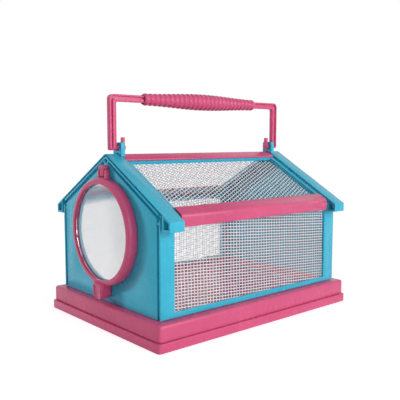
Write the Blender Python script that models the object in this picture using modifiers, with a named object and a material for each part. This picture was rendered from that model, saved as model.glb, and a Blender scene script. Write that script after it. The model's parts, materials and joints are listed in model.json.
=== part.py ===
"""Insect observation box: a toy house with net walls, a bail handle and a magnifier window.

Metres, +Z up. The origin is under the middle of the base, X runs along the ridge and the window gable faces -X.
"""

import math

import bmesh
import bpy
from mathutils import Matrix, Vector

# General clearances and facets
FIT_GAP = 0.0003
RUNNING_GAP = 0.0002
CUT_MARGIN = 0.001
WELD_DISTANCE = 0.000002
ARC_STEP = math.radians(18)
SHARP_ANGLE = math.radians(35)
FLAT_ANGLE = math.radians(0.5)
CORNER_ANGLE = math.radians(60)
EDGE_SEGMENTS = 3

# House, with the height at which the roof line crosses the side walls' faces
HOUSE_HALF_LENGTH = 0.0752
HOUSE_HALF_WIDTH = 0.0529
BASE_HEIGHT = 0.0150
WALL_HEIGHT = 0.0596
EAVE_HEIGHT = BASE_HEIGHT + WALL_HEIGHT
ROOF_PITCH = math.radians(29.65)
WALL = 0.0012

# Base
SKIRT_END_STEP = 0.00635
SKIRT_SIDE_STEP = 0.0068
SKIRT_HALF_LENGTH = HOUSE_HALF_LENGTH + SKIRT_END_STEP
SKIRT_HALF_WIDTH = HOUSE_HALF_WIDTH + SKIRT_SIDE_STEP
SKIRT_HEIGHT = 0.0054
PLINTH_INSET = 0.0011
PLINTH_EDGE_RADIUS = 0.0015
SEAM_HEIGHT = 0.0005
SEAM_DEPTH = 0.0009
BASE_CORNER_RADIUS = 0.0023
BASE_WALL = 0.0022
RIB_HEIGHT = 0.0020
RIB_THICKNESS = 0.0012
RIB_TO_NET = 0.0009

# Roof: drops are measured square to the slope, from the line through the trims' top faces
RIDGE_HEIGHT = EAVE_HEIGHT + HOUSE_HALF_WIDTH * math.tan(ROOF_PITCH)
RIDGE_RADIUS = 0.0030
TRIM_THICKNESS = 0.0012
TRIM_WIDTH = 0.0099
TRIM_LIP = 0.0005
TRIM_REBATE_DEPTH = 0.0025
NOSE_TO_WALL = 0.0018
NOSE_WIDTH = 0.0068
NOSE_BELOW_EAVE = 0.0103
NOSE_INNER_WALL = HOUSE_HALF_WIDTH + NOSE_TO_WALL
NOSE_HALF_WIDTH = NOSE_INNER_WALL + NOSE_WIDTH
NOSE_BOTTOM = EAVE_HEIGHT - NOSE_BELOW_EAVE
ROOF_FRAME_THICKNESS = 0.0022
ROOF_FRAME_END = NOSE_INNER_WALL - FIT_GAP
ROOF_FRAME_SIDE = 0.0097
ROOF_FRAME_FOOT = 0.0046
ROOF_OPENING_TOP = 0.0073
ROOF_OPENING_BOTTOM = ROOF_FRAME_END / math.cos(ROOF_PITCH) - ROOF_FRAME_FOOT
CAP_DROP = 0.0002
CAP_THICKNESS = 0.0010
CAP_EDGE = 0.0003
RIDGE_CAP_GAP = 0.0006
RIDGE_CAP_HALF_WIDTH = 0.0062
EAVE_CAP_GAP = 0.0022
EAVE_CAP_FLANGE = 0.0031
EAVE_CAP_BELOW_EAVE = 0.0090
EAVE_CAP_START = HOUSE_HALF_WIDTH - EAVE_CAP_FLANGE
EAVE_CAP_WALL = 0.0015
EAVE_CAP_OUTER = ROOF_FRAME_END + 2 * FIT_GAP + EAVE_CAP_WALL
EAVE_CAP_RADIUS = 0.0025
EAVE_CAP_BOTTOM = EAVE_HEIGHT - EAVE_CAP_BELOW_EAVE

# Gables
GABLE_THICKNESS = 0.0035
ROOF_OPENING_HALF_LENGTH = HOUSE_HALF_LENGTH - GABLE_THICKNESS - FIT_GAP - ROOF_FRAME_SIDE
FIELD_RECESS = 0.0002
GROOVE_DEPTH = 0.0020
GROOVE_WIDTH = 0.0020
RIM_WIDTH = 0.0012
SIDE_GROOVE = 0.0016
SNAP_BELOW_EAVE = 0.0072
SNAP_HEIGHT = 0.0012
SNAP_BOTTOM = EAVE_HEIGHT - SNAP_BELOW_EAVE
SNAP_TOP = SNAP_BOTTOM + SNAP_HEIGHT
BOSS_BELOW_RIDGE = 0.0045
BOSS_RADIUS = 0.0026
BOSS_HOLE_RADIUS = 0.0013
BOSS_SEGMENTS = 24

# Side walls
POST_WIDTH = 0.0099
POST_BELOW_EAVE = 0.0046
TOP_RAIL_DROP = 0.0010
TOP_RAIL = 0.0032
BOTTOM_RAIL = 0.0031
POST_TOP = EAVE_HEIGHT - POST_BELOW_EAVE
TOP_RAIL_TOP = POST_TOP - TOP_RAIL_DROP
TOP_RAIL_BOTTOM = TOP_RAIL_TOP - TOP_RAIL

# Nets
SIDE_NET_GAPS = (12, 6)
ROOF_NET_GAPS = (12, 5)
NET_THICKNESS = 0.0005
NET_THREAD = 0.0016
NET_MARGIN = 0.0018
ROOF_NET_THICKNESS = 0.0004

# Handle
PIVOT_ABOVE_RIDGE = 0.0031
PIVOT_HEIGHT = RIDGE_HEIGHT + PIVOT_ABOVE_RIDGE
BRACKET_TO_TRIM = 0.0011
BRACKET_THICKNESS = 0.0028
BRACKET_ABOVE_PIVOT = 0.0032
BRACKET_INNER = HOUSE_HALF_LENGTH - TRIM_WIDTH - BRACKET_TO_TRIM
BRACKET_OUTER = BRACKET_INNER + BRACKET_THICKNESS
BRACKET_HALF_WIDTH = 0.0043
BRACKET_TOP = PIVOT_HEIGHT + BRACKET_ABOVE_PIVOT
BRACKET_CORNER_RADIUS = 0.0010
BRACKET_BORE_RADIUS = 0.0019
BRACKET_BORE_SEGMENTS = 24
ARM_TO_BRACKET = 0.0012
ARM_WIDTH = 0.0046
ARM_INNER = BRACKET_OUTER + ARM_TO_BRACKET
ARM_OUTER = ARM_INNER + ARM_WIDTH
ARM_HALF_DEPTH = 0.0015
ARM_END_RADIUS = 0.0014
BAR_ABOVE_PIVOT = 0.0272
BAR_HEIGHT = 0.0044
BAR_BOTTOM = PIVOT_HEIGHT + BAR_ABOVE_PIVOT
BAR_TOP = BAR_BOTTOM + BAR_HEIGHT
BAR_OUTER_RADIUS = 0.0030
BAR_INNER_RADIUS = 0.0012
ARM_GROOVE_LIP = 0.0010
ARM_GROOVE_WIDTH = 0.0014
ARM_GROOVE_DEPTH = 0.0012
ARM_GROOVE_RADIUS = 0.0022
ARM_GROOVE_START = PIVOT_HEIGHT
SPIGOT_RADIUS = 0.0008
SPIGOT_LENGTH = 0.0019
SPIGOT_BORE_SEGMENTS = 16
PIVOT_SEGMENTS = 20
FINGER_GAP = 0.0005
EYE_PROUD = 0.0001
FINGER_THICKNESS = 0.0015
FINGER_WIDTH = 0.0025
FINGER_ABOVE_PIVOT = 0.0062
FINGER_TOP = PIVOT_HEIGHT + FINGER_ABOVE_PIVOT
FINGER_EYE_RADIUS = 0.0020

# Grip
GRIP_TO_ARM = 0.0202
GRIP_LENGTH = 2 * (ARM_INNER - GRIP_TO_ARM)
GRIP_END_RADIUS = 0.0038
GRIP_CROWN = 0.0016
GRIP_BORE_RADIUS = 0.00305
GRIP_RIBS = 26
GRIP_RIB_DEPTH = 0.0005
GRIP_SEGMENTS = 20

# Magnifier window: its size follows the gable's, and it stands over the base on its thumb tab
RING_WIDTH_SHARE = 0.6087
RING_OUTER_RADIUS = HOUSE_HALF_WIDTH * RING_WIDTH_SHARE
RING_WIDTH = 0.0035
RING_BORE_RADIUS = RING_OUTER_RADIUS - RING_WIDTH
RING_DEPTH = 0.0057
RING_EDGE_RADIUS = 0.0020
TAB_TO_BASE = 0.0032
TAB_LENGTH = 0.0076
TAB_OVERLAP = 0.0018
WINDOW_HEIGHT = BASE_HEIGHT + TAB_TO_BASE + TAB_LENGTH + RING_OUTER_RADIUS
WINDOW_SEGMENTS = 72
LENS_SEAT = 0.0008
LENS_RADIUS = RING_BORE_RADIUS + LENS_SEAT
LENS_RECESS = 0.0024
LENS_EDGE = 0.0016
LENS_CROWN = 0.0041
LENS_STEPS = 10
WINDOW_HOLE_RADIUS = LENS_RADIUS
RING_TOP = WINDOW_HEIGHT + RING_OUTER_RADIUS
RING_BOTTOM = WINDOW_HEIGHT - RING_OUTER_RADIUS
LUG_HALF_WIDTH = 0.0042
LUG_CHEEK = 0.0014
LUG_OVERLAP = 0.0020
LUG_BOTTOM = RING_TOP - LUG_OVERLAP
RECESS_BOTTOM = RING_TOP + FIT_GAP
HINGE_ABOVE_RING = 0.0038
HINGE_HEIGHT = RING_TOP + HINGE_ABOVE_RING
LUG_THICKNESS = 0.0029
LUG_ARCH_RADIUS = 0.0040
KNUCKLE_RADIUS = 0.0014
TONGUE_FOOT_GAP = 0.0005
TONGUE_HALF_WIDTH = 0.0019
HINGE_CAP_HEIGHT = 0.0022
HINGE_PIN_RADIUS = 0.0006
HINGE_BORE_RADIUS = 0.0008
TAB_HALF_WIDTH = 0.0047
TAB_BOTTOM = RING_BOTTOM - TAB_LENGTH
TAB_TOP = RING_BOTTOM + TAB_OVERLAP
TAB_REACH = 0.0076
TAB_CORNER_RADIUS = 0.0030
TAB_EDGE_RADIUS = 0.0009
TAB_SCOOP_RADIUS = 0.0090
TAB_SCOOP_DEPTH = 0.0008

# The window's back and its hinge's axis, both as distances out from the middle of the house
WINDOW_BACK = HOUSE_HALF_LENGTH - FIELD_RECESS + FIT_GAP
HINGE_OUT = WINDOW_BACK + LUG_THICKNESS / 2

ENDS = (("window_end", -1), ("far_end", 1))
SIDES = (("front", -1), ("rear", 1))

# Each plane's matrix turns a flat outline's x, y and thickness into the object's own directions
ALONG_X = Matrix(((0, 0, 1), (1, 0, 0), (0, 1, 0)))
ALONG_Y = Matrix(((1, 0, 0), (0, 0, -1), (0, 1, 0)))
ALONG_Z = Matrix.Identity(3)


def roof_height(y, drop):
    """Height of the roof line at width y, the given drop under the trims' top faces."""
    return RIDGE_HEIGHT - drop / math.cos(ROOF_PITCH) - abs(y) * math.tan(ROOF_PITCH)


def principled(name, colour, roughness, transmission=0.0):
    """Makes a plain material."""
    made = bpy.data.materials.new(name)
    made.use_nodes = True
    shader = made.node_tree.nodes["Principled BSDF"]
    shader.inputs["Base Color"].default_value = (*colour, 1.0)
    shader.inputs["Roughness"].default_value = roughness
    shader.inputs["Metallic"].default_value = 0.0
    shader.inputs["Transmission Weight"].default_value = transmission
    made.diffuse_color = (*colour, 1.0)
    return made


def start_scene():
    """Empties the scene and makes the two collections."""
    for old in list(bpy.data.objects):
        bpy.data.objects.remove(old, do_unlink=True)
    found = []
    for name in ("insect_observation_box", "cutters"):
        collection = bpy.data.collections.new(name)
        bpy.context.scene.collection.children.link(collection)
        found.append(collection)
    return found


def filleted(corners):
    """Points of a closed outline whose corners are (x, y) or (x, y, radius)."""
    points = []
    for index, corner in enumerate(corners):
        here = Vector(corner[:2])
        radius = corner[2] if len(corner) > 2 else 0
        if not radius:
            points.append(here)
            continue
        back = (Vector(corners[index - 1][:2]) - here).normalized()
        ahead = (Vector(corners[(index + 1) % len(corners)][:2]) - here).normalized()
        half = back.angle(ahead) / 2
        centre = here + (back + ahead).normalized() * radius / math.sin(half)
        start = here + back * radius / math.tan(half) - centre
        turn = math.pi - 2 * half
        side = 1 if back.cross(ahead) < 0 else -1
        steps = max(1, round(turn / ARC_STEP))
        for step in range(steps + 1):
            angle = side * turn * step / steps
            points.append(centre + Matrix.Rotation(angle, 2) @ start)
    return points


def circle(x, y, radius, segments):
    """Points of a closed circle."""
    angles = [math.tau * index / segments for index in range(segments)]
    return [Vector((x + radius * math.cos(angle), y + radius * math.sin(angle))) for angle in angles]


def link(obj, collection, paint):
    """Puts an object in its collection, with its material, or hidden if it only cuts or joins."""
    collection.objects.link(obj)
    if paint:
        obj.data.materials.append(paint)
    if collection is CUTTERS:
        obj.hide_render = True
        obj.display_type = "WIRE"
    return obj


def plain_mesh(source, name):
    """Replaces an object by the mesh it evaluates to, welded, with its faces pointing out."""
    bpy.context.view_layer.update()
    graph = bpy.context.evaluated_depsgraph_get()
    mesh = bpy.data.meshes.new_from_object(source.evaluated_get(graph))
    place = source.matrix_world.copy()
    bpy.data.objects.remove(source, do_unlink=True)
    work = bmesh.new()
    work.from_mesh(mesh)
    bmesh.ops.remove_doubles(work, verts=work.verts, dist=WELD_DISTANCE)
    bmesh.ops.recalc_face_normals(work, faces=work.faces)
    work.to_mesh(mesh)
    work.free()
    mesh.materials.clear()
    mesh.name = name
    obj = bpy.data.objects.new(name, mesh)
    obj.matrix_world = place
    return obj


def whole_caps(obj):
    """Makes each cap of a filled outline one face, so that a Boolean finds no stray edges in it."""
    work = bmesh.new()
    work.from_mesh(obj.data)
    bmesh.ops.dissolve_limit(work, angle_limit=FLAT_ANGLE, verts=work.verts, edges=work.edges)
    work.to_mesh(obj.data)
    work.free()


def plate(name, outlines, plane, low, high, collection=None, paint=None, place=None):
    """A flat outline, with any holes, extruded from low to high along the plane's normal.

    The object's origin is the frame's, or the matrix given as its place.
    """
    curve = bpy.data.curves.new(name, "CURVE")
    curve.dimensions = "2D"
    curve.fill_mode = "BOTH"
    curve.extrude = (high - low) / 2
    for outline in outlines:
        spline = curve.splines.new("POLY")
        spline.points.add(len(outline) - 1)
        spline.use_cyclic_u = True
        for point, corner in zip(spline.points, outline):
            point.co = (corner[0], corner[1], 0, 1)
    flat = bpy.data.objects.new(name, curve)
    bpy.context.scene.collection.objects.link(flat)
    obj = plain_mesh(flat, name)
    if len(outlines) == 1:
        whole_caps(obj)
    turned = plane.to_4x4()
    obj.data.transform(turned @ Matrix.Translation((0, 0, (low + high) / 2)))
    obj.matrix_world = place or Matrix.Identity(4)
    return link(obj, collection or PARTS, paint)


def lathe(name, profile, segments, axis, place, collection=None, paint=None):
    """A closed (along, radius) profile turned about the X or Y axis of the place given."""
    mesh = bpy.data.meshes.new(name)
    count = len(profile)
    swap = Matrix(((0, 1, 0), (1, 0, 0), (0, 0, 1))) if axis == "Y" else Matrix.Identity(3)
    points = [swap @ Vector((along, radius, 0)) for along, radius in profile]
    mesh.from_pydata(points, [(index, (index + 1) % count) for index in range(count)], [])
    spun = bpy.data.objects.new(name, mesh)
    bpy.context.scene.collection.objects.link(spun)
    screw = spun.modifiers.new("Screw", "SCREW")
    screw.axis = axis
    screw.steps = segments
    screw.render_steps = segments
    screw.use_merge_vertices = True
    screw.merge_threshold = WELD_DISTANCE
    obj = plain_mesh(spun, name)
    obj.matrix_world = place
    return link(obj, collection or PARTS, paint)


def combine(target, other, operation):
    """Applies a Boolean of another object to the target, and keeps only the target."""
    cut = target.modifiers.new(operation.title(), "BOOLEAN")
    cut.operation = operation
    cut.solver = "EXACT"
    cut.object = other
    bpy.context.view_layer.update()
    graph = bpy.context.evaluated_depsgraph_get()
    mesh = bpy.data.meshes.new_from_object(target.evaluated_get(graph))
    old = target.data
    target.modifiers.clear()
    target.data = mesh
    bpy.data.meshes.remove(old)
    if operation == "UNION":
        bpy.data.objects.remove(other, do_unlink=True)


def bevel(obj, width, segments, angle):
    """Rounds the edges that turn by more than an angle."""
    rounding = obj.modifiers.new("Bevel", "BEVEL")
    rounding.width = width
    rounding.segments = segments
    rounding.limit_method = "ANGLE"
    rounding.angle_limit = angle
    rounding.use_clamp_overlap = True
    bpy.context.view_layer.update()
    graph = bpy.context.evaluated_depsgraph_get()
    mesh = bpy.data.meshes.new_from_object(obj.evaluated_get(graph))
    obj.modifiers.clear()
    obj.data = mesh


def round_edges(obj, wanted, radius, segments):
    """Rounds the edges whose two ends a test accepts."""
    work = bmesh.new()
    work.from_mesh(obj.data)
    edges = [edge for edge in work.edges if wanted(*(vert.co for vert in edge.verts))]
    bmesh.ops.bevel(
        work,
        geom=edges,
        offset=radius,
        offset_type="OFFSET",
        segments=segments,
        profile=0.5,
        affect="EDGES",
    )
    work.to_mesh(obj.data)
    work.free()


def paint_only(obj, paint):
    """Gives a joined piece its one material."""
    obj.data.materials.clear()
    obj.data.materials.append(paint)


def smooth(obj):
    """Shades the rounds smooth and keeps the corners sharp."""
    obj.data.shade_smooth()
    obj.data.set_sharp_from_angle(angle=SHARP_ANGLE)


def rounded_box(half_x, half_y, radius):
    return filleted(
        [
            (-half_x, -half_y, radius),
            (half_x, -half_y, radius),
            (half_x, half_y, radius),
            (-half_x, half_y, radius),
        ]
    )


def box_outline(low_x, low_y, high_x, high_y):
    return [(low_x, low_y), (high_x, low_y), (high_x, high_y), (low_x, high_y)]


def half_turn(end):
    """The place of a piece modelled at -X (or -Y): as it is, or turned to the other end (or side)."""
    return Matrix.Identity(4) if end < 0 else Matrix.Rotation(math.pi, 4, "Z")


def make_base():
    plinth_length = SKIRT_HALF_LENGTH - PLINTH_INSET
    plinth_width = SKIRT_HALF_WIDTH - PLINTH_INSET
    outline = rounded_box(plinth_length, plinth_width, BASE_CORNER_RADIUS)
    tray = plate("base_tray", [outline], ALONG_Z, SKIRT_HEIGHT + SEAM_HEIGHT, BASE_HEIGHT)
    limit = BASE_HEIGHT - CAP_EDGE
    round_edges(tray, lambda a, b: min(a.z, b.z) > limit, PLINTH_EDGE_RADIUS, EDGE_SEGMENTS)
    outline = rounded_box(plinth_length - SEAM_DEPTH, plinth_width - SEAM_DEPTH, BASE_CORNER_RADIUS)
    neck_top = SKIRT_HEIGHT + 2 * SEAM_HEIGHT
    neck = plate("neck", [outline], ALONG_Z, SKIRT_HEIGHT / 2, neck_top, CUTTERS)
    combine(tray, neck, "UNION")
    outline = rounded_box(SKIRT_HALF_LENGTH, SKIRT_HALF_WIDTH, BASE_CORNER_RADIUS)
    skirt = plate("skirt", [outline], ALONG_Z, 0, SKIRT_HEIGHT, CUTTERS)
    bevel(skirt, CAP_EDGE, 1, CORNER_ANGLE)
    combine(tray, skirt, "UNION")
    inner_length = HOUSE_HALF_LENGTH - GABLE_THICKNESS - FIT_GAP
    inner_width = HOUSE_HALF_WIDTH - WALL - FIT_GAP - NET_THICKNESS - RIB_TO_NET
    rib = plate(
        "locating_rib",
        [rounded_box(inner_length, inner_width, RIB_THICKNESS)],
        ALONG_Z,
        BASE_HEIGHT - CUT_MARGIN,
        BASE_HEIGHT + RIB_HEIGHT,
        CUTTERS,
    )
    combine(tray, rib, "UNION")
    floor = plate(
        "floor_inside_rib",
        [rounded_box(inner_length - RIB_THICKNESS, inner_width - RIB_THICKNESS, RIB_THICKNESS / 2)],
        ALONG_Z,
        BASE_HEIGHT,
        BASE_HEIGHT + RIB_HEIGHT + CUT_MARGIN,
        CUTTERS,
    )
    combine(tray, floor, "DIFFERENCE")
    hollow = plate(
        "base_hollow",
        [rounded_box(plinth_length - BASE_WALL, plinth_width - BASE_WALL, BASE_CORNER_RADIUS / 2)],
        ALONG_Z,
        -CUT_MARGIN,
        BASE_HEIGHT - BASE_WALL,
        CUTTERS,
    )
    combine(tray, hollow, "DIFFERENCE")
    paint_only(tray, PINK)
    smooth(tray)


def make_gable(name, end):
    """One gable wall: a back sheet, a raised field and a raised rim with the groove between them."""
    outer = -HOUSE_HALF_LENGTH
    inner = outer + GABLE_THICKNESS
    groove = outer + GROOVE_DEPTH
    field = outer + FIELD_RECESS
    bottom = BASE_HEIGHT + FIT_GAP
    half = HOUSE_HALF_WIDTH - WALL - FIT_GAP
    top = TRIM_THICKNESS + FIT_GAP
    wall = plate(
        name,
        [
            filleted(
                [
                    (-half, bottom),
                    (half, bottom),
                    (half, roof_height(half, top)),
                    (0, roof_height(0, top), RIDGE_RADIUS),
                    (-half, roof_height(half, top)),
                ]
            )
        ],
        ALONG_X,
        groove,
        inner,
        paint=TURQUOISE,
    )
    rim_inner = top + RIM_WIDTH
    rim = plate(
        "rim",
        [
            filleted(
                [
                    (half, roof_height(half, top)),
                    (0, roof_height(0, top), RIDGE_RADIUS),
                    (-half, roof_height(half, top)),
                    (-half, roof_height(half, rim_inner)),
                    (0, roof_height(0, rim_inner), RIDGE_RADIUS / 2),
                    (half, roof_height(half, rim_inner)),
                ]
            )
        ],
        ALONG_X,
        outer,
        groove + CUT_MARGIN,
        CUTTERS,
    )
    combine(wall, rim, "UNION")
    field_half = half - SIDE_GROOVE
    field_top = rim_inner + GROOVE_WIDTH
    face = plate(
        "field",
        [
            filleted(
                [
                    (-field_half, bottom),
                    (field_half, bottom),
                    (field_half, roof_height(field_half, field_top)),
                    (0, roof_height(0, field_top), RIDGE_RADIUS),
                    (-field_half, roof_height(field_half, field_top)),
                ]
            )
        ],
        ALONG_X,
        field,
        groove + CUT_MARGIN,
        CUTTERS,
    )
    combine(wall, face, "UNION")
    for side in (-1, 1):
        low, high = sorted((side * (field_half - SIDE_GROOVE), side * half))
        snap = plate(
            "snap",
            [box_outline(low, SNAP_BOTTOM, high, SNAP_TOP)],
            ALONG_X,
            field + FIELD_RECESS,
            groove + CUT_MARGIN,
            CUTTERS,
        )
        combine(wall, snap, "UNION")
    boss_height = RIDGE_HEIGHT - BOSS_BELOW_RIDGE
    boss = plate(
        "boss",
        [circle(0, boss_height, BOSS_RADIUS, BOSS_SEGMENTS)],
        ALONG_X,
        field + FIELD_RECESS / 2,
        groove + CUT_MARGIN,
        CUTTERS,
    )
    combine(wall, boss, "UNION")
    eye = plate(
        "boss_hole",
        [circle(0, boss_height, BOSS_HOLE_RADIUS, BOSS_SEGMENTS)],
        ALONG_X,
        outer - CUT_MARGIN,
        groove,
        CUTTERS,
    )
    combine(wall, eye, "DIFFERENCE")
    if end < 0:
        opening = plate(
            "window_hole",
            [circle(0, WINDOW_HEIGHT, WINDOW_HOLE_RADIUS, WINDOW_SEGMENTS)],
            ALONG_X,
            outer - CUT_MARGIN,
            inner + CUT_MARGIN,
            CUTTERS,
        )
        combine(wall, opening, "DIFFERENCE")
    wall.matrix_world = half_turn(end)
    smooth(wall)


def make_side_frame(name, side):
    """One long wall's moulding: two posts, a bottom rail and a lower top rail."""
    length = HOUSE_HALF_LENGTH
    bottom = BASE_HEIGHT + FIT_GAP
    inside = length - POST_WIDTH
    outline = [
        (-length, bottom),
        (length, bottom),
        (length, POST_TOP),
        (inside, POST_TOP),
        (inside, TOP_RAIL_TOP),
        (-inside, TOP_RAIL_TOP),
        (-inside, POST_TOP),
        (-length, POST_TOP),
    ]
    opening = box_outline(-inside, bottom + BOTTOM_RAIL, inside, TOP_RAIL_BOTTOM)
    outer = HOUSE_HALF_WIDTH
    plate(
        name,
        [outline, opening],
        ALONG_Y,
        outer - WALL,
        outer,
        paint=TURQUOISE,
        place=half_turn(side),
    )


def make_net(name, half_length, low, high, gaps, thickness, place):
    """A flat net: a grid whose gap faces are taken out, with its cords given thickness.

    It is drawn in the place's own XY plane, from its low to its high Y, centred on its XY plane.
    """
    columns, rows = gaps
    xs = thread_lines(-half_length, half_length, columns)
    ys = thread_lines(low, high, rows)
    sheet = bmesh.new()
    bmesh.ops.create_grid(sheet, x_segments=2 * columns + 1, y_segments=2 * rows + 1, size=1)
    across = sorted({round(vert.co.x, 5) for vert in sheet.verts})
    down = sorted({round(vert.co.y, 5) for vert in sheet.verts})
    spaces = []
    for face in sheet.faces:
        centre = face.calc_center_median()
        column = sum(value < centre.x for value in across) - 1
        row = sum(value < centre.y for value in down) - 1
        if column % 2 and row % 2:
            spaces.append(face)
    for vert in sheet.verts:
        column = min(range(len(across)), key=lambda index: abs(across[index] - vert.co.x))
        row = min(range(len(down)), key=lambda index: abs(down[index] - vert.co.y))
        vert.co = (xs[column], ys[row], 0)
    bmesh.ops.delete(sheet, geom=spaces, context="FACES")
    mesh = bpy.data.meshes.new(name)
    sheet.to_mesh(mesh)
    sheet.free()
    net = bpy.data.objects.new(name, mesh)
    bpy.context.scene.collection.objects.link(net)
    solid = net.modifiers.new("Solidify", "SOLIDIFY")
    solid.thickness = thickness
    solid.offset = 0
    net = plain_mesh(net, name)
    net.matrix_world = place
    link(net, PARTS, WHITE)


def thread_lines(low, high, gaps):
    """Both edges of each thread across a net, with a thread at both ends."""
    pitch = (high - low - NET_THREAD) / gaps
    return [low + index * pitch + edge for index in range(gaps + 1) for edge in (0, NET_THREAD)]


def make_side_net(name, side):
    middle = HOUSE_HALF_WIDTH - WALL - FIT_GAP - NET_THICKNESS / 2
    place = half_turn(side) @ Matrix.Translation((0, -middle, 0)) @ Matrix.Rotation(math.pi / 2, 4, "X")
    low = BASE_HEIGHT + FIT_GAP + BOTTOM_RAIL - NET_MARGIN
    high = TOP_RAIL_BOTTOM + NET_MARGIN
    half_length = HOUSE_HALF_LENGTH - POST_WIDTH + NET_MARGIN
    make_net(name, half_length, low, high, SIDE_NET_GAPS, NET_THICKNESS, place)


def slope_place(side, drop):
    """The plane a drop under a roof slope: X along the ridge, Y up the slope from the ridge line, Z outwards."""
    ridge = Matrix.Translation((0, 0, RIDGE_HEIGHT - drop / math.cos(ROOF_PITCH)))
    return half_turn(side) @ ridge @ Matrix.Rotation(ROOF_PITCH, 4, "X")


def make_roof_frame(name, side):
    """One slope's frame, from the ridge to the eave, with the net's opening."""
    half_length = HOUSE_HALF_LENGTH - GABLE_THICKNESS - FIT_GAP
    top = (FIT_GAP + ROOF_FRAME_THICKNESS * math.sin(ROOF_PITCH)) / math.cos(ROOF_PITCH)
    bottom = ROOF_FRAME_END / math.cos(ROOF_PITCH)
    plate(
        name,
        [
            box_outline(-half_length, -bottom, half_length, -top),
            box_outline(
                -ROOF_OPENING_HALF_LENGTH,
                -ROOF_OPENING_BOTTOM,
                ROOF_OPENING_HALF_LENGTH,
                -ROOF_OPENING_TOP,
            ),
        ],
        ALONG_Z,
        -ROOF_FRAME_THICKNESS,
        0,
        paint=TURQUOISE,
        place=slope_place(side, TRIM_THICKNESS + FIT_GAP),
    )


def make_roof_net(name, side):
    drop = TRIM_THICKNESS + 2 * FIT_GAP + ROOF_FRAME_THICKNESS + ROOF_NET_THICKNESS / 2
    make_net(
        name,
        ROOF_OPENING_HALF_LENGTH + NET_MARGIN,
        -ROOF_OPENING_BOTTOM - NET_MARGIN,
        -ROOF_OPENING_TOP + NET_MARGIN,
        ROOF_NET_GAPS,
        ROOF_NET_THICKNESS,
        slope_place(side, drop),
    )


def make_rake_trim(name, end):
    """One gable's edge trim: a slab with a thin front lip, and a hollow nose at each eave."""
    under = TRIM_THICKNESS
    outer = NOSE_HALF_WIDTH
    inner = NOSE_INNER_WALL
    bottom = NOSE_BOTTOM
    half = [
        (outer, roof_height(outer, 0)),
        (outer, bottom),
        (inner, bottom),
        (inner, roof_height(inner, under)),
    ]
    lower = [(-y, z) for y, z in reversed(half)]
    outline = filleted(
        [
            (0, roof_height(0, 0), RIDGE_RADIUS),
            *half,
            (0, roof_height(0, under), RIDGE_RADIUS / 2),
            *lower,
        ]
    )
    outer_wall = outer - WALL
    inner_wall = inner + WALL
    floor = bottom + WALL
    front = -HOUSE_HALF_LENGTH
    back = front + TRIM_WIDTH
    trim = plate(name, [outline], ALONG_X, front, back, paint=TURQUOISE)
    pocket = [
        (outer_wall, floor),
        (outer_wall, roof_height(outer_wall, under)),
        (inner_wall, roof_height(inner_wall, under)),
        (inner_wall, floor),
    ]
    for corners in (pocket, [(-y, z) for y, z in pocket]):
        hollow = plate("nose_hollow", [corners], ALONG_X, front - CUT_MARGIN, back + CUT_MARGIN, CUTTERS)
        combine(trim, hollow, "DIFFERENCE")
    lip = TRIM_LIP
    below = under + CUT_MARGIN
    rebate = plate(
        "trim_rebate",
        [
            filleted(
                [
                    (0, roof_height(0, lip), RIDGE_RADIUS),
                    (inner, roof_height(inner, lip)),
                    (inner, roof_height(inner, below)),
                    (0, roof_height(0, below), RIDGE_RADIUS / 2),
                    (-inner, roof_height(inner, below)),
                    (-inner, roof_height(inner, lip)),
                ]
            )
        ],
        ALONG_X,
        front - CUT_MARGIN,
        front + TRIM_REBATE_DEPTH,
        CUTTERS,
    )
    combine(trim, rebate, "DIFFERENCE")
    trim.matrix_world = half_turn(end)
    smooth(trim)


def make_ridge_cap():
    half_length = HOUSE_HALF_LENGTH - TRIM_WIDTH - RIDGE_CAP_GAP
    under = CAP_DROP + CAP_THICKNESS
    half = RIDGE_CAP_HALF_WIDTH
    cap = plate(
        "ridge_cap",
        [
            filleted(
                [
                    (half, roof_height(half, CAP_DROP)),
                    (half, roof_height(half, under)),
                    (0, roof_height(0, under), RIDGE_RADIUS / 2),
                    (-half, roof_height(half, under)),
                    (-half, roof_height(half, CAP_DROP)),
                    (0, roof_height(0, CAP_DROP), RIDGE_RADIUS),
                ]
            )
        ],
        ALONG_X,
        -half_length,
        half_length,
        paint=PINK,
    )
    bevel(cap, CAP_EDGE, 2, CORNER_ANGLE)
    smooth(cap)


def make_eave_cap(name, side):
    """One eave's channel: a flange on the slope and a fascia down to the nose's bottom."""
    half_length = HOUSE_HALF_LENGTH - TRIM_WIDTH - EAVE_CAP_GAP
    under = CAP_DROP + CAP_THICKNESS
    outer = -EAVE_CAP_OUTER
    inner = outer + EAVE_CAP_WALL
    start = -EAVE_CAP_START
    bottom = EAVE_CAP_BOTTOM
    outline = filleted(
        [
            (start, roof_height(start, CAP_DROP)),
            (outer, roof_height(outer, CAP_DROP), EAVE_CAP_RADIUS),
            (outer, bottom),
            (inner, bottom),
            (inner, roof_height(inner, under), EAVE_CAP_RADIUS / 2),
            (start, roof_height(start, under)),
        ]
    )
    cap = plate(name, [outline], ALONG_X, -half_length, half_length, paint=PINK)
    limit = bottom + CAP_EDGE
    round_edges(
        cap,
        lambda a, b: max(a.z, b.z) < limit and abs(a.x - b.x) < CAP_EDGE,
        EAVE_CAP_WALL,
        EDGE_SEGMENTS,
    )
    cap.matrix_world = half_turn(side)
    smooth(cap)


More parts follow.
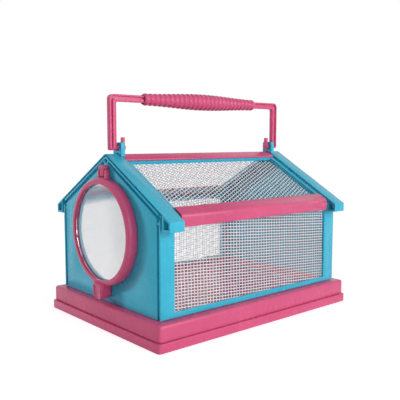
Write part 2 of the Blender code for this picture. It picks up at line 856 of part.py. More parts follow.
def make_bracket(name, end):
    """One ear: it stands over the trim on the ridge, with the bore for the handle's pin."""
    half = BRACKET_HALF_WIDTH
    foot = -FIT_GAP
    outline = filleted(
        [
            (half, roof_height(half, foot)),
            (half, BRACKET_TOP, BRACKET_CORNER_RADIUS),
            (-half, BRACKET_TOP, BRACKET_CORNER_RADIUS),
            (-half, roof_height(half, foot)),
            (0, roof_height(0, foot), RIDGE_RADIUS),
        ]
    )
    ear = plate(
        name,
        [outline, circle(0, PIVOT_HEIGHT, BRACKET_BORE_RADIUS, BRACKET_BORE_SEGMENTS)],
        ALONG_X,
        -BRACKET_OUTER,
        -BRACKET_INNER,
        paint=TURQUOISE,
        place=half_turn(end),
    )
    smooth(ear)


def groove_outline(end):
    """The L-shaped groove of one arm, round the bar's corner and up to the grip."""
    outside = ARM_OUTER - ARM_GROOVE_LIP
    inside = outside - ARM_GROOVE_WIDTH
    top = BAR_TOP - ARM_GROOVE_LIP
    lower = top - ARM_GROOVE_WIDTH
    stop = GRIP_LENGTH / 2 + FIT_GAP
    radius = ARM_GROOVE_RADIUS
    corners = [
        (inside, ARM_GROOVE_START),
        (outside, ARM_GROOVE_START),
        (outside, top, radius),
        (stop, top),
        (stop, lower),
        (inside, lower, radius - ARM_GROOVE_WIDTH / 2),
    ]
    return filleted([(end * corner[0], *corner[1:]) for corner in corners])


def make_handle_frame():
    """The bail: two arms and the bar in one piece, drawn about the pivot's axis."""
    bottom = PIVOT_HEIGHT - ARM_HALF_DEPTH
    outline = filleted(
        [
            (-ARM_OUTER, bottom),
            (-ARM_INNER, bottom),
            (-ARM_INNER, BAR_BOTTOM, BAR_INNER_RADIUS),
            (ARM_INNER, BAR_BOTTOM, BAR_INNER_RADIUS),
            (ARM_INNER, bottom),
            (ARM_OUTER, bottom),
            (ARM_OUTER, BAR_TOP, BAR_OUTER_RADIUS),
            (-ARM_OUTER, BAR_TOP, BAR_OUTER_RADIUS),
        ]
    )
    frame = plate("handle_frame", [outline], ALONG_Y, -ARM_HALF_DEPTH, ARM_HALF_DEPTH)
    limit = bottom + CAP_EDGE
    round_edges(
        frame,
        lambda a, b: max(a.z, b.z) < limit and abs(a.y - b.y) < CAP_EDGE,
        ARM_END_RADIUS,
        2 * EDGE_SEGMENTS,
    )
    floor = ARM_HALF_DEPTH - ARM_GROOVE_DEPTH
    for end in (-1, 1):
        for face in (-1, 1):
            low, high = sorted((face * floor, face * (ARM_HALF_DEPTH + CUT_MARGIN)))
            groove = plate("arm_groove", [groove_outline(end)], ALONG_Y, low, high, CUTTERS)
            combine(frame, groove, "DIFFERENCE")
        low, high = sorted((end * (ARM_INNER - CUT_MARGIN), end * (ARM_INNER + SPIGOT_LENGTH)))
        bore = plate(
            "arm_bore",
            [circle(0, PIVOT_HEIGHT, SPIGOT_RADIUS + FIT_GAP, SPIGOT_BORE_SEGMENTS)],
            ALONG_X,
            low,
            high,
            CUTTERS,
        )
        combine(frame, bore, "DIFFERENCE")
    paint_only(frame, PINK)
    hang_on(frame, HANDLE_PIVOT)
    smooth(frame)


def make_pivot_pin(name, end):
    """One pin through an ear: the finger inboard, and the spigot that fixes it in the arm."""
    finger_outer = BRACKET_INNER - FINGER_GAP
    finger_inner = finger_outer - FINGER_THICKNESS
    shoulder = ARM_INNER - FIT_GAP
    half = FINGER_WIDTH / 2
    pin = plate(
        name,
        [
            filleted(
                [
                    (half, PIVOT_HEIGHT),
                    (half, FINGER_TOP, half / 2),
                    (-half, FINGER_TOP, half / 2),
                    (-half, PIVOT_HEIGHT),
                ]
            )
        ],
        ALONG_X,
        -finger_outer,
        -finger_inner,
    )
    steps = (
        ("eye", FINGER_EYE_RADIUS, finger_inner - EYE_PROUD, finger_outer + EYE_PROUD),
        ("shaft", BRACKET_BORE_RADIUS - RUNNING_GAP, finger_inner, shoulder),
        ("spigot", SPIGOT_RADIUS, finger_outer, ARM_INNER + SPIGOT_LENGTH - FIT_GAP),
    )
    for step, radius, low, high in steps:
        outline = circle(0, PIVOT_HEIGHT, radius, PIVOT_SEGMENTS)
        piece = plate(step, [outline], ALONG_X, -high, -low, CUTTERS)
        combine(pin, piece, "UNION")
    paint_only(pin, PINK)
    pin.matrix_world = half_turn(end)
    hang_on(pin, HANDLE_PIVOT)
    smooth(pin)


def make_grip():
    """The barrel grip: ring ribs on a crowned body, bored to slide over the bar."""
    middle = (BAR_BOTTOM + BAR_TOP) / 2
    half = GRIP_LENGTH / 2
    profile = [(-half, GRIP_BORE_RADIUS), (half, GRIP_BORE_RADIUS)]
    points = 2 * GRIP_RIBS + 1
    for index in range(points):
        along = half - GRIP_LENGTH * index / (points - 1)
        crown = GRIP_CROWN * math.cos(math.pi * along / GRIP_LENGTH) ** 2
        radius = GRIP_END_RADIUS + crown - (0 if index % 2 else GRIP_RIB_DEPTH)
        profile.append((along, radius))
    place = Matrix.Translation((0, 0, middle))
    grip = lathe("handle_grip", profile, GRIP_SEGMENTS, "X", place, paint=PINK)
    hang_on(grip, HANDLE_PIVOT)
    smooth(grip)


def hinge_cap_top():
    """Top of the bar over the hinge's cheeks, which is the lug's whole height."""
    return HINGE_HEIGHT + KNUCKLE_RADIUS + FIT_GAP + HINGE_CAP_HEIGHT


def arch_outline():
    """The hinge's outer shape seen from the gable's side, rounded over the top."""
    top = hinge_cap_top()
    foot = LUG_BOTTOM - CUT_MARGIN
    return filleted(
        [
            (-LUG_HALF_WIDTH, foot),
            (LUG_HALF_WIDTH, foot),
            (LUG_HALF_WIDTH, top, LUG_ARCH_RADIUS),
            (-LUG_HALF_WIDTH, top, LUG_ARCH_RADIUS),
        ]
    )


def make_window_ring():
    """The magnifier's ring with the hinge cheeks on top and the thumb tab below."""
    back = -WINDOW_BACK
    front = back - RING_DEPTH
    seat = back - LENS_RECESS - LENS_EDGE - FIT_GAP
    rebate = LENS_RADIUS + FIT_GAP
    profile = filleted(
        [
            (back, rebate),
            (seat, rebate),
            (seat, RING_BORE_RADIUS),
            (front, RING_BORE_RADIUS, FIT_GAP),
            (front, RING_OUTER_RADIUS, RING_EDGE_RADIUS),
            (back, RING_OUTER_RADIUS),
        ]
    )
    place = Matrix.Translation((0, 0, WINDOW_HEIGHT))
    ring = lathe("window_ring", profile, WINDOW_SEGMENTS, "X", place)
    knuckle_top = HINGE_HEIGHT + KNUCKLE_RADIUS
    lug = plate(
        "lug",
        [
            filleted(
                [
                    (back - LUG_THICKNESS, LUG_BOTTOM),
                    (back, LUG_BOTTOM),
                    (back, knuckle_top, KNUCKLE_RADIUS),
                    (back - LUG_THICKNESS, knuckle_top, KNUCKLE_RADIUS),
                ]
            )
        ],
        ALONG_Y,
        -2 * LUG_HALF_WIDTH,
        2 * LUG_HALF_WIDTH,
        CUTTERS,
    )
    arch = plate("lug_arch", [arch_outline()], ALONG_X, back - 2 * LUG_THICKNESS, back + CUT_MARGIN, CUTTERS)
    combine(lug, arch, "INTERSECT")
    inside = LUG_HALF_WIDTH - LUG_CHEEK
    recess = plate(
        "lug_recess",
        [box_outline(-inside, RECESS_BOTTOM, inside, knuckle_top + CUT_MARGIN)],
        ALONG_X,
        back - 2 * LUG_THICKNESS,
        back + CUT_MARGIN,
        CUTTERS,
    )
    combine(lug, recess, "DIFFERENCE")
    combine(ring, lug, "UNION")
    tab_front = back - TAB_REACH
    tab = plate(
        "thumb_tab",
        [
            filleted(
                [
                    (-TAB_HALF_WIDTH, TAB_BOTTOM, TAB_CORNER_RADIUS),
                    (TAB_HALF_WIDTH, TAB_BOTTOM, TAB_CORNER_RADIUS),
                    (TAB_HALF_WIDTH, TAB_TOP),
                    (-TAB_HALF_WIDTH, TAB_TOP),
                ]
            )
        ],
        ALONG_X,
        tab_front,
        back,
        CUTTERS,
    )
    bevel(tab, TAB_EDGE_RADIUS, EDGE_SEGMENTS, CORNER_ANGLE)
    combine(ring, tab, "UNION")
    scoop = plate(
        "tab_scoop",
        [circle(tab_front - TAB_SCOOP_RADIUS + TAB_SCOOP_DEPTH, 0, TAB_SCOOP_RADIUS, WINDOW_SEGMENTS)],
        ALONG_Z,
        0,
        WINDOW_HEIGHT - RING_BORE_RADIUS - TAB_CORNER_RADIUS,
        CUTTERS,
    )
    combine(ring, scoop, "DIFFERENCE")
    keep_clear = plate(
        "ring_bore",
        [circle(0, WINDOW_HEIGHT, RING_BORE_RADIUS, WINDOW_SEGMENTS)],
        ALONG_X,
        front - CUT_MARGIN,
        back + CUT_MARGIN,
        CUTTERS,
    )
    combine(ring, keep_clear, "DIFFERENCE")
    bore = plate(
        "cheek_bore",
        [circle(-HINGE_OUT, HINGE_HEIGHT, HINGE_BORE_RADIUS, PIVOT_SEGMENTS)],
        ALONG_Y,
        -LUG_HALF_WIDTH - CUT_MARGIN,
        LUG_HALF_WIDTH + CUT_MARGIN,
        CUTTERS,
    )
    combine(ring, bore, "DIFFERENCE")
    paint_only(ring, PINK)
    hang_on(ring, WINDOW_HINGE)
    smooth(ring)


def make_lens():
    """The plano-convex lens: a flat back, a short edge and a domed front that stays in the bore."""
    back = -WINDOW_BACK - LENS_RECESS
    edge = back - LENS_EDGE
    dome_radius = RING_BORE_RADIUS - FIT_GAP
    sphere = (dome_radius**2 + (LENS_CROWN - LENS_EDGE) ** 2) / (2 * (LENS_CROWN - LENS_EDGE))
    opening = math.asin(dome_radius / sphere)
    profile = [(back, 0), (back, LENS_RADIUS), (edge, LENS_RADIUS)]
    for index in range(LENS_STEPS + 1):
        angle = opening * (1 - index / LENS_STEPS)
        profile.append((back - LENS_CROWN + sphere * (1 - math.cos(angle)), sphere * math.sin(angle)))
    place = Matrix.Translation((0, 0, WINDOW_HEIGHT))
    lens = lathe("magnifier_lens", profile, WINDOW_SEGMENTS, "X", place, paint=CLEAR)
    hang_on(lens, WINDOW_HINGE)
    smooth(lens)


def make_hinge_tongue():
    """The hinge's fixed half: a tongue between the cheeks under a cap bar, standing on the gable."""
    back = -WINDOW_BACK
    front = back - LUG_THICKNESS
    cap_bottom = HINGE_HEIGHT + KNUCKLE_RADIUS + FIT_GAP
    half = TONGUE_HALF_WIDTH
    tongue = plate("hinge_tongue", [arch_outline()], ALONG_X, front, back)
    for side in (-1, 1):
        low, high = sorted((side * half, side * 2 * LUG_HALF_WIDTH))
        beside = plate(
            "beside_tongue",
            [box_outline(low, LUG_BOTTOM - 2 * CUT_MARGIN, high, cap_bottom)],
            ALONG_X,
            front - CUT_MARGIN,
            back + CUT_MARGIN,
            CUTTERS,
        )
        combine(tongue, beside, "DIFFERENCE")
    below = plate(
        "below_tongue",
        [
            box_outline(
                -LUG_HALF_WIDTH,
                LUG_BOTTOM - 2 * CUT_MARGIN,
                LUG_HALF_WIDTH,
                RECESS_BOTTOM + TONGUE_FOOT_GAP,
            )
        ],
        ALONG_X,
        front - CUT_MARGIN,
        back + CUT_MARGIN,
        CUTTERS,
    )
    combine(tongue, below, "DIFFERENCE")
    bore = plate(
        "tongue_bore",
        [circle(-HINGE_OUT, HINGE_HEIGHT, HINGE_BORE_RADIUS, PIVOT_SEGMENTS)],
        ALONG_Y,
        -LUG_HALF_WIDTH,
        LUG_HALF_WIDTH,
        CUTTERS,
    )
    combine(tongue, bore, "DIFFERENCE")
    paint_only(tongue, PINK)
    smooth(tongue)


def make_hinge_pin():
    """The pin through both cheeks and the tongue."""
    reach = LUG_HALF_WIDTH - FIT_GAP
    profile = [(reach, 0), (reach, HINGE_PIN_RADIUS), (-reach, HINGE_PIN_RADIUS), (-reach, 0)]
    place = Matrix.Translation((-HINGE_OUT, 0, HINGE_HEIGHT))
    pin = lathe("window_hinge_pin", profile, PIVOT_SEGMENTS, "Y", place, paint=PINK)
    smooth(pin)


def make_empty(name, location):
    empty = bpy.data.objects.new(name, None)
    empty.location = location
    empty.empty_display_size = BRACKET_HALF_WIDTH
    PARTS.objects.link(empty)
    bpy.context.view_layer.update()
    return empty


def hang_on(obj, parent):
    """Parents a piece to the empty on its joint's axis and keeps it where it is."""
    obj.parent = parent
    obj.matrix_parent_inverse = parent.matrix_world.inverted()


PARTS, CUTTERS = start_scene()
TURQUOISE = principled("turquoise_plastic", (0.085, 0.50, 0.62), 0.32)
PINK = principled("pink_plastic", (0.76, 0.11, 0.23), 0.32)
WHITE = principled("white_net", (0.85, 0.87, 0.88), 0.55)
CLEAR = principled("clear_acrylic", (0.97, 0.98, 0.98), 0.02, 1.0)
HANDLE_PIVOT = make_empty("handle_pivot", (0, 0, PIVOT_HEIGHT))
WINDOW_HINGE = make_empty("window_hinge", (-HINGE_OUT, 0, HINGE_HEIGHT))

make_base()
make_gable("window_gable", -1)
make_gable("far_gable", 1)
make_ridge_cap()
for SIDE_NAME, SIDE in SIDES:
    make_side_frame(f"side_frame_{SIDE_NAME}", SIDE)
    make_side_net(f"side_net_{SIDE_NAME}", SIDE)
    make_roof_frame(f"roof_frame_{SIDE_NAME}", SIDE)
    make_roof_net(f"roof_net_{SIDE_NAME}", SIDE)
    make_eave_cap(f"eave_cap_{SIDE_NAME}", SIDE)
for END_NAME, END in ENDS:
    make_rake_trim(f"rake_trim_{END_NAME}", END)
    make_bracket(f"handle_bracket_{END_NAME}", END)
    make_pivot_pin(f"pivot_pin_{END_NAME}", END)
make_handle_frame()
make_grip()
make_window_ring()
make_lens()
make_hinge_tongue()
make_hinge_pin()
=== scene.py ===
"""Insect observation box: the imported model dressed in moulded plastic, stretched net and clear acrylic.

Metres, +Z up. X runs along the ridge, the window gable faces -X, and the camera stands off the -X -Y corner.
"""

import json
import math

import bmesh
import bpy
from mathutils import Matrix, Vector


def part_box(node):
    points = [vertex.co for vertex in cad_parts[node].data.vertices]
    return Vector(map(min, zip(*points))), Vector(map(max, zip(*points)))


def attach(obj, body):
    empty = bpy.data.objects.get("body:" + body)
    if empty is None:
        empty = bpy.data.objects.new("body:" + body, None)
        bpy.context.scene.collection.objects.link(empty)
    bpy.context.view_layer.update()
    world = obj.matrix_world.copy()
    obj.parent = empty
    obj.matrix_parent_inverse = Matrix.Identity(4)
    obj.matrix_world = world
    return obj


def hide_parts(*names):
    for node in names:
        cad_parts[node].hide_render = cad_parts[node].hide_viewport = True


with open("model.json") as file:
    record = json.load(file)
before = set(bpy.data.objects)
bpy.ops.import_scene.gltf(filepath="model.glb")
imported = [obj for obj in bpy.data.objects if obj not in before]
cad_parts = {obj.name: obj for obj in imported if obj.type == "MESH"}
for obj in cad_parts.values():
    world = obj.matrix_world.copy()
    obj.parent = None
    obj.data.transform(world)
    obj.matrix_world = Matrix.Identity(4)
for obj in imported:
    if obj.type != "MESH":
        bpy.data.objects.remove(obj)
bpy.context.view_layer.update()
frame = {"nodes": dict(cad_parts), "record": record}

NODES = frame["nodes"]
MM = 0.001

# The camera that the photograph's outlines were fitted to
CAMERA_PLACE = (-0.26006, -0.29917, 0.11215)
CAMERA_TURN = (84.21, 0.0, -40.83)
CAMERA_LENS = 52.885

# Light: a broad key low over the front, and a small lamp off the window gable for the ring's shadow.
# Each lamp's name, place, size, power and whether polished faces mirror it
AMBIENT = 0.25
FLOOR_GLOW = 0.64
FLOOR_NEAR = 0.14
FLOOR_FAR = 0.42
FLOOR_HALF = 2.0
FLOOR_DROP = 0.1 * MM
LAMP_AIM = Vector((0, 0, 0.06))
LAMPS = (
    ("front_softbox", (0.35, -1.7, 0.42), 1.4, 30.0, True),
    ("gable_softbox", (-0.75, 1.1, 0.4), 0.2, 8.0, False),
)

# Nets: each set of threads is its warp's slant and spacing, then its weft's, in degrees and mm
THREAD_WIDTH = 0.58 * MM
THREAD_CRIMP = 0.15 * MM
THREAD_DRIFT = 0.9 * MM
SIDE_THREADS = (1.2, 2.39, 85.9, 1.78)
ROOF_THREADS = (-7.6, 2.69, -63.1, 2.24)
SIDE_NET_THICKNESS = 0.5 * MM
ROOF_NET_THICKNESS = 0.4 * MM

# Grip and lens
GRIP_END_RADIUS = 3.8 * MM
GRIP_CROWN = 1.6 * MM
GRIP_BORE_RADIUS = 2.85 * MM
GRIP_RIBS = 26
GRIP_RIB_DEPTH = 0.75 * MM
GRIP_RIB_ROUNDNESS = 0.9
LENS_EDGE = 1.6 * MM
LENS_SEAT = 1.1 * MM
LENS_FACETS = 96
LENS_RINGS = 24
GRIP_FACETS = 40
GRIP_POINTS_PER_RIB = 8

# Mould and assembly details
WELD = 0.002 * MM
FLAT_ANGLE = math.radians(0.4)
ARRIS_ANGLE = math.radians(40)
LENS_CREASE = math.radians(40)
GRIP_CREASE = math.radians(55)
ROOF_PITCH = math.radians(29.65)

TURQUOISE_PIECES = {
    "window_gable": 0.25,
    "far_gable": 0.25,
    "side_frame_front": 0.3,
    "side_frame_rear": 0.3,
    "roof_frame_front": 0.25,
    "roof_frame_rear": 0.25,
    "rake_trim_window_end": 0.15,
    "rake_trim_far_end": 0.15,
    "handle_bracket_window_end": 0.35,
    "handle_bracket_far_end": 0.35,
}
PINK_PIECES = {
    "base_tray": 0.2,
    "ridge_cap": 0.2,
    "eave_cap_front": 0.25,
    "eave_cap_rear": 0.25,
    "handle_frame": 0.3,
    "pivot_pin_window_end": 0.15,
    "pivot_pin_far_end": 0.15,
    "window_ring": 0.2,
    "hinge_tongue": 0.15,
    "window_hinge_pin": 0.1,
}


def colour(code):
    """Linear colour of an sRGB hex code."""
    parts = [int(code[start : start + 2], 16) / 255 for start in (1, 3, 5)]
    linear = [part / 12.92 if part <= 0.04045 else ((part + 0.055) / 1.055) ** 2.4 for part in parts]
    return (*linear, 1.0)


def add(tree, kind, values=None, **settings):
    """Adds a node with its settings, its inputs' values and the links into it."""
    node = tree.nodes.new(kind)
    for name, value in settings.items():
        setattr(node, name, value)
    for key, value in (values or {}).items():
        if isinstance(value, bpy.types.NodeSocket):
            tree.links.new(value, node.inputs[key])
        else:
            node.inputs[key].default_value = value
    return node


def new_material(name):
    """A material with only its output node and a shader: (tree, shader, object coordinates)."""
    made = bpy.data.materials.new(name)
    made.use_nodes = True
    tree = made.node_tree
    tree.nodes.clear()
    shader = add(tree, "ShaderNodeBsdfPrincipled")
    add(tree, "ShaderNodeOutputMaterial", {"Surface": shader.outputs["BSDF"]})
    place = add(tree, "ShaderNodeTexCoord").outputs["Object"]
    return made, shader, place


def polished_abs(name, body, deep):
    """Injection-moulded ABS from a polished mould: a clean gloss over one deep colour.

    Broad flow marks shift the colour a little, a faint orange peel breaks up the highlights, and handling has
    left soft, duller patches.
    """
    made, shader, place = new_material(name)
    tree = made.node_tree
    # Flow marks, about 28 mm apart
    flow = add(
        tree,
        "ShaderNodeTexNoise",
        {"Vector": place, "Scale": 1 / (28 * MM), "Detail": 2.0, "Roughness": 0.45},
    )
    shade = add(
        tree,
        "ShaderNodeMapRange",
        {"Value": flow.outputs["Fac"], "From Min": 0.3, "From Max": 0.7, "To Min": 0.0, "To Max": 1.0},
    )
    tint = add(
        tree,
        "ShaderNodeMix",
        {"Factor": shade.outputs["Result"], 6: colour(body), 7: colour(deep)},
        data_type="RGBA",
    )
    tree.links.new(tint.outputs[2], shader.inputs["Base Color"])
    # Handling haze, in patches about 9 mm wide
    haze = add(
        tree,
        "ShaderNodeTexNoise",
        {"Vector": place, "Scale": 1 / (9 * MM), "Detail": 4.0, "Roughness": 0.6},
    )
    dull = add(
        tree,
        "ShaderNodeMapRange",
        {"Value": haze.outputs["Fac"], "From Min": 0.35, "From Max": 0.75, "To Min": 0.22, "To Max": 0.34},
    )
    tree.links.new(dull.outputs["Result"], shader.inputs["Roughness"])
    # Orange peel, about 2.2 mm across and far too shallow to feel
    peel = add(tree, "ShaderNodeTexNoise", {"Vector": place, "Scale": 1 / (2.2 * MM), "Detail": 1.0})
    skin = add(
        tree,
        "ShaderNodeBump",
        {"Height": peel.outputs["Fac"], "Strength": 0.02, "Distance": 0.05 * MM},
    )
    tree.links.new(skin.outputs["Normal"], shader.inputs["Normal"])
    shader.inputs["IOR"].default_value = 1.46
    shader.inputs["Specular IOR Level"].default_value = 0.3
    shader.inputs["Metallic"].default_value = 0.0
    return made


def drawn_net_thread(name, body, shade_code):
    """Heat-set polyester yarn of a warp-knitted net: soft white, with the twist of its filaments."""
    made, shader, place = new_material(name)
    tree = made.node_tree
    # Yarn to yarn tone, about 6 mm
    tone = add(tree, "ShaderNodeTexNoise", {"Vector": place, "Scale": 1 / (6 * MM), "Detail": 3.0})
    tint = add(
        tree,
        "ShaderNodeMix",
        {"Factor": tone.outputs["Fac"], 6: colour(body), 7: colour(shade_code)},
        data_type="RGBA",
    )
    tree.links.new(tint.outputs[2], shader.inputs["Base Color"])
    # Filament twist, 0.25 mm apart: finer than the render shows, so it only softens the light
    twist = add(
        tree,
        "ShaderNodeTexWave",
        {"Vector": place, "Scale": 1 / (1.5 * MM), "Distortion": 2.0, "Detail": 1.0},
        bands_direction="DIAGONAL",
    )
    weave = add(
        tree,
        "ShaderNodeBump",
        {"Height": twist.outputs["Fac"], "Strength": 0.3, "Distance": 0.05 * MM},
    )
    tree.links.new(weave.outputs["Normal"], shader.inputs["Normal"])
    shader.inputs["Roughness"].default_value = 0.6
    shader.inputs["Sheen Weight"].default_value = 0.25
    # Light scatters a little way into the fine filaments
    shader.inputs["Subsurface Weight"].default_value = 0.35
    shader.inputs["Subsurface Radius"].default_value = (1.0, 1.0, 1.0)
    shader.inputs["Subsurface Scale"].default_value = 0.3 * MM
    return made


def cast_acrylic(name):
    """Moulded acrylic lens: clear, with a faint ripple and a haze that softens what is seen through it."""
    made, shader, place = new_material(name)
    tree = made.node_tree
    # Moulding ripple, about 14 mm
    ripple = add(tree, "ShaderNodeTexNoise", {"Vector": place, "Scale": 1 / (14 * MM), "Detail": 1.0})
    skin = add(
        tree,
        "ShaderNodeBump",
        {"Height": ripple.outputs["Fac"], "Strength": 0.06, "Distance": 0.1 * MM},
    )
    tree.links.new(skin.outputs["Normal"], shader.inputs["Normal"])
    # Wiping haze, about 5 mm
    haze = add(tree, "ShaderNodeTexNoise", {"Vector": place, "Scale": 1 / (5 * MM), "Detail": 3.0})
    dull = add(
        tree,
        "ShaderNodeMapRange",
        {"Value": haze.outputs["Fac"], "From Min": 0.3, "From Max": 0.7, "To Min": 0.1, "To Max": 0.14},
    )
    tree.links.new(dull.outputs["Result"], shader.inputs["Roughness"])
    shader.inputs["Base Color"].default_value = colour("#FBFDFD")
    shader.inputs["Transmission Weight"].default_value = 1.0
    shader.inputs["IOR"].default_value = 1.49
    return made


def body_of(node):
    """The body that a node belongs to in the record."""
    bodies = frame["record"]["behaviour"]["bodies"]
    return next(body for body, nodes in bodies.items() if node in nodes)


def finished(piece, node, material):
    """Puts a piece in the node's place: same body, its own material."""
    piece.data.materials.clear()
    piece.data.materials.append(material)
    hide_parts(node)
    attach(piece, body_of(node))
    return piece


def moulded(node, radius, material):
    """A CAD piece with its arrises rounded as a mould leaves them."""
    mesh = NODES[node].data.copy()
    mesh.name = f"{node}_moulded"
    work = bmesh.new()
    work.from_mesh(mesh)
    bmesh.ops.remove_doubles(work, verts=work.verts, dist=WELD)
    bmesh.ops.dissolve_limit(work, angle_limit=FLAT_ANGLE, verts=work.verts, edges=work.edges)
    work.to_mesh(mesh)
    work.free()
    mesh.shade_smooth()
    piece = bpy.data.objects.new(f"{node}_moulded", mesh)
    bpy.context.scene.collection.objects.link(piece)
    arris = piece.modifiers.new("Arrises", "BEVEL")
    arris.width = radius * MM
    arris.segments = 2
    arris.limit_method = "ANGLE"
    arris.angle_limit = ARRIS_ANGLE
    arris.use_clamp_overlap = True
    arris.harden_normals = True
    return finished(piece, node, material)


def new_tree(name, inputs):
    """A Geometry Nodes tree with named inputs: (tree, the sockets of its inputs)."""
    tree = bpy.data.node_groups.new(name, "GeometryNodeTree")
    tree.interface.new_socket(name="Geometry", in_out="OUTPUT", socket_type="NodeSocketGeometry")
    for label, kind in inputs:
        tree.interface.new_socket(name=label, in_out="INPUT", socket_type=f"NodeSocket{kind}")
    return tree, add(tree, "NodeGroupInput").outputs


def grown(tree, name, values, place):
    """Runs a tree with its named inputs set, and returns the plain mesh that it makes, put in its place."""
    piece = bpy.data.objects.new(name, bpy.data.meshes.new(name))
    bpy.context.scene.collection.objects.link(piece)
    growth = piece.modifiers.new("Growth", "NODES")
    growth.node_group = tree
    for item in tree.interface.items_tree:
        if item.item_type == "SOCKET" and item.in_out == "INPUT":
            growth[item.identifier] = values[item.name]
    bpy.context.view_layer.update()
    graph = bpy.context.evaluated_depsgraph_get()
    mesh = bpy.data.meshes.new_from_object(piece.evaluated_get(graph))
    piece.modifiers.clear()
    mesh.transform(place)
    mesh.name = name
    piece.data = mesh
    return piece


def maths(tree, operation, *values):
    """One sum: each value is a number or a socket."""
    return add(tree, "ShaderNodeMath", dict(enumerate(values)), operation=operation).outputs[0]


def thread_family(tree, given, angle, pitch, step, phase, lift):
    """One set of parallel threads cut to the net's rectangle, passing over and under the other set."""
    reach = add(tree, "ShaderNodeVectorMath", {0: given["corner"]}, operation="LENGTH").outputs["Value"]
    beside = maths(tree, "CEIL", maths(tree, "DIVIDE", reach, pitch))
    count = maths(tree, "MULTIPLY_ADD", beside, 2.0, 1.0)
    first = maths(tree, "MULTIPLY", maths(tree, "MULTIPLY", beside, pitch), -1.0)
    start = add(tree, "ShaderNodeCombineXYZ", {"X": first}).outputs[0]
    shift = add(tree, "ShaderNodeCombineXYZ", {"X": pitch}).outputs[0]
    row = add(tree, "GeometryNodeMeshLine", {"Count": count, "Start Location": start, "Offset": shift})
    low = add(tree, "ShaderNodeCombineXYZ", {"Y": maths(tree, "MULTIPLY", reach, -1.0)}).outputs[0]
    high = add(tree, "ShaderNodeCombineXYZ", {"Y": reach}).outputs[0]
    thread = add(tree, "GeometryNodeCurvePrimitiveLine", {"Start": low, "End": high})
    stepped = add(
        tree,
        "GeometryNodeResampleCurve",
        {"Curve": thread.outputs[0], "Length": step},
        mode="LENGTH",
    )
    strung = add(
        tree,
        "GeometryNodeInstanceOnPoints",
        {"Points": row.outputs[0], "Instance": stepped.outputs[0]},
    )
    loose = add(tree, "GeometryNodeRealizeInstances", {"Geometry": strung.outputs[0]})
    turn = add(tree, "ShaderNodeCombineXYZ", {"Z": angle}).outputs[0]
    turned = add(tree, "GeometryNodeTransform", {"Geometry": loose.outputs[0], "Rotation": turn})
    here = add(tree, "ShaderNodeSeparateXYZ", {0: add(tree, "GeometryNodeInputPosition").outputs[0]}).outputs
    past_end = maths(tree, "GREATER_THAN", maths(tree, "ABSOLUTE", here["X"]), given["half_length"])
    past_side = maths(tree, "GREATER_THAN", maths(tree, "ABSOLUTE", here["Y"]), given["half_height"])
    outside = maths(tree, "MAXIMUM", past_end, past_side)
    cut = add(
        tree,
        "GeometryNodeDeleteGeometry",
        {"Geometry": turned.outputs[0], "Selection": outside},
        domain="POINT",
    )
    length = add(tree, "GeometryNodeSplineLength").outputs["Length"]
    stubs = maths(tree, "LESS_THAN", length, maths(tree, "MULTIPLY", step, 1.5))
    kept = add(
        tree,
        "GeometryNodeDeleteGeometry",
        {"Geometry": cut.outputs[0], "Selection": stubs},
        domain="CURVE",
    )
    height = maths(tree, "MULTIPLY", phase, maths(tree, "MULTIPLY", given["crimp"], lift))
    woven = add(tree, "ShaderNodeCombineXYZ", {"Z": height}).outputs[0]
    drift = add(tree, "ShaderNodeVectorMath", {0: woven, 1: given["drift"]}, operation="ADD").outputs[0]
    placed = add(tree, "GeometryNodeSetPosition", {"Geometry": kept.outputs[0], "Offset": drift})
    return placed.outputs[0]


